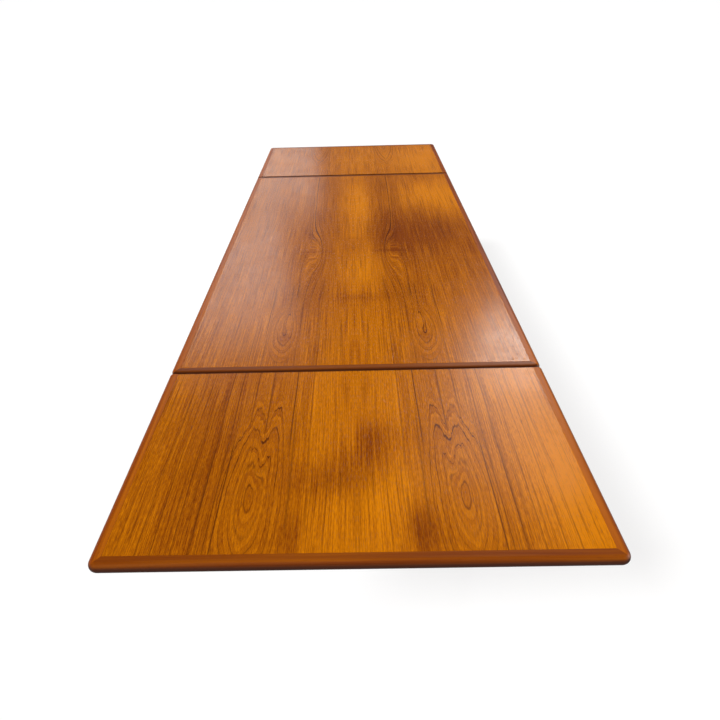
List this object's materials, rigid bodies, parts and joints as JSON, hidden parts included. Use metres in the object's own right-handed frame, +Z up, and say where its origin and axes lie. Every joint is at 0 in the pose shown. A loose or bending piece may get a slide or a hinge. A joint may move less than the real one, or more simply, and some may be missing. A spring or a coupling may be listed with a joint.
{
  "type": "drop leaf table",
  "caption": "Long teak dining table whose end leaves hinge down from a fixed centre top on turned legs, held level by slotted stays.",
  "frame": {"origin": "on the floor under the middle of the centre top", "axes": "+X across the table, +Y along its length towards the far leaf, +Z up"},
  "size_m": [0.9, 2.525, 0.735],
  "materials": {
    "veneer": "satin teak veneer",
    "edging": "satin solid teak",
    "frame_wood": "satin solid teak",
    "stay_steel": "satin zinc-plated",
    "hinge_brass": "satin",
    "knob": "matt",
    "glide": "matt"
  },
  "bodies": {
    "base": {"centre_panel": "veneer", "centre_left_edge": "edging", "centre_right_edge": "edging", "centre_near_edge": "edging", "centre_far_edge": "edging", "leg_near_left": "frame_wood", "glide_near_left": "glide", "corner_block_near_left": "frame_wood", "leg_near_right": "frame_wood", "glide_near_right": "glide", "corner_block_near_right": "frame_wood", "leg_far_left": "frame_wood", "glide_far_left": "glide", "corner_block_far_left": "frame_wood", "leg_far_right": "frame_wood", "glide_far_right": "glide", "corner_block_far_right": "frame_wood", "side_rail_left": "frame_wood", "side_rail_right": "frame_wood", "end_rail_near": "frame_wood", "end_rail_far": "frame_wood", "cross_bearer_near": "frame_wood", "cross_bearer_far": "frame_wood", "near_left_hinge_fixed_flap": "hinge_brass", "near_left_hinge_pin": "hinge_brass", "near_left_stay_bracket": "stay_steel", "near_right_hinge_fixed_flap": "hinge_brass", "near_right_hinge_pin": "hinge_brass", "near_right_stay_bracket": "stay_steel", "far_left_hinge_fixed_flap": "hinge_brass", "far_left_hinge_pin": "hinge_brass", "far_left_stay_bracket": "stay_steel", "far_right_hinge_fixed_flap": "hinge_brass", "far_right_hinge_pin": "hinge_brass", "far_right_stay_bracket": "stay_steel"},
    "near_leaf": {"near_leaf_panel": "veneer", "near_leaf_left_edge": "edging", "near_leaf_right_edge": "edging", "near_leaf_end_edge": "edging", "near_left_hinge_leaf_flap": "hinge_brass", "near_left_stay_slot_plate": "stay_steel", "near_right_hinge_leaf_flap": "hinge_brass", "near_right_stay_slot_plate": "stay_steel"},
    "near_left_stay_strut": {"near_left_stay_strut": "stay_steel"},
    "near_left_stay_knob": {"near_left_stay_clamp_knob": "knob"},
    "near_right_stay_strut": {"near_right_stay_strut": "stay_steel"},
    "near_right_stay_knob": {"near_right_stay_clamp_knob": "knob"},
    "far_leaf": {"far_leaf_panel": "veneer", "far_leaf_left_edge": "edging", "far_leaf_right_edge": "edging", "far_leaf_end_edge": "edging", "far_left_hinge_leaf_flap": "hinge_brass", "far_left_stay_slot_plate": "stay_steel", "far_right_hinge_leaf_flap": "hinge_brass", "far_right_stay_slot_plate": "stay_steel"},
    "far_left_stay_strut": {"far_left_stay_strut": "stay_steel"},
    "far_left_stay_knob": {"far_left_stay_clamp_knob": "knob"},
    "far_right_stay_strut": {"far_right_stay_strut": "stay_steel"},
    "far_right_stay_knob": {"far_right_stay_clamp_knob": "knob"}
  },
  "joints": [
    {"name": "near_leaf_hinge", "type": "hinge", "parent": "base", "child": "near_leaf", "pos_m": [0, -0.75125, 0.7085], "axis": [1, 0, 0], "range_deg": [0, 90]},
    {"name": "near_left_stay_pivot", "type": "hinge", "parent": "base", "child": "near_left_stay_strut", "pos_m": [-0.18, -0.73525, 0.6285], "axis": [1, 0, 0], "range_deg": [0, 108]},
    {"name": "near_left_stay_knob_turn", "type": "hinge", "parent": "near_left_stay_strut", "child": "near_left_stay_knob", "pos_m": [-0.18, -0.93288, 0.6995], "axis": [1, 0, 0], "range_deg": [0, 180]},
    {"name": "near_right_stay_pivot", "type": "hinge", "parent": "base", "child": "near_right_stay_strut", "pos_m": [0.18, -0.73525, 0.6285], "axis": [1, 0, 0], "range_deg": [0, 108]},
    {"name": "near_right_stay_knob_turn", "type": "hinge", "parent": "near_right_stay_strut", "child": "near_right_stay_knob", "pos_m": [0.18, -0.93288, 0.6995], "axis": [1, 0, 0], "range_deg": [0, 180]},
    {"name": "far_leaf_hinge", "type": "hinge", "parent": "base", "child": "far_leaf", "pos_m": [0, 0.75125, 0.7085], "axis": [-1, 0, 0], "range_deg": [0, 90]},
    {"name": "far_left_stay_pivot", "type": "hinge", "parent": "base", "child": "far_left_stay_strut", "pos_m": [-0.18, 0.73525, 0.6285], "axis": [-1, 0, 0], "range_deg": [0, 108]},
    {"name": "far_left_stay_knob_turn", "type": "hinge", "parent": "far_left_stay_strut", "child": "far_left_stay_knob", "pos_m": [-0.18, 0.93288, 0.6995], "axis": [-1, 0, 0], "range_deg": [0, 180]},
    {"name": "far_right_stay_pivot", "type": "hinge", "parent": "base", "child": "far_right_stay_strut", "pos_m": [0.18, 0.73525, 0.6285], "axis": [-1, 0, 0], "range_deg": [0, 108]},
    {"name": "far_right_stay_knob_turn", "type": "hinge", "parent": "far_right_stay_strut", "child": "far_right_stay_knob", "pos_m": [0.18, 0.93288, 0.6995], "axis": [-1, 0, 0], "range_deg": [0, 180]}
  ],
  "couplings": [
    {"joint": "near_left_stay_pivot", "follows": "near_leaf_hinge", "ratio": 1.2},
    {"joint": "near_right_stay_pivot", "follows": "near_leaf_hinge", "ratio": 1.2},
    {"joint": "far_left_stay_pivot", "follows": "far_leaf_hinge", "ratio": 1.2},
    {"joint": "far_right_stay_pivot", "follows": "far_leaf_hinge", "ratio": 1.2}
  ]
}
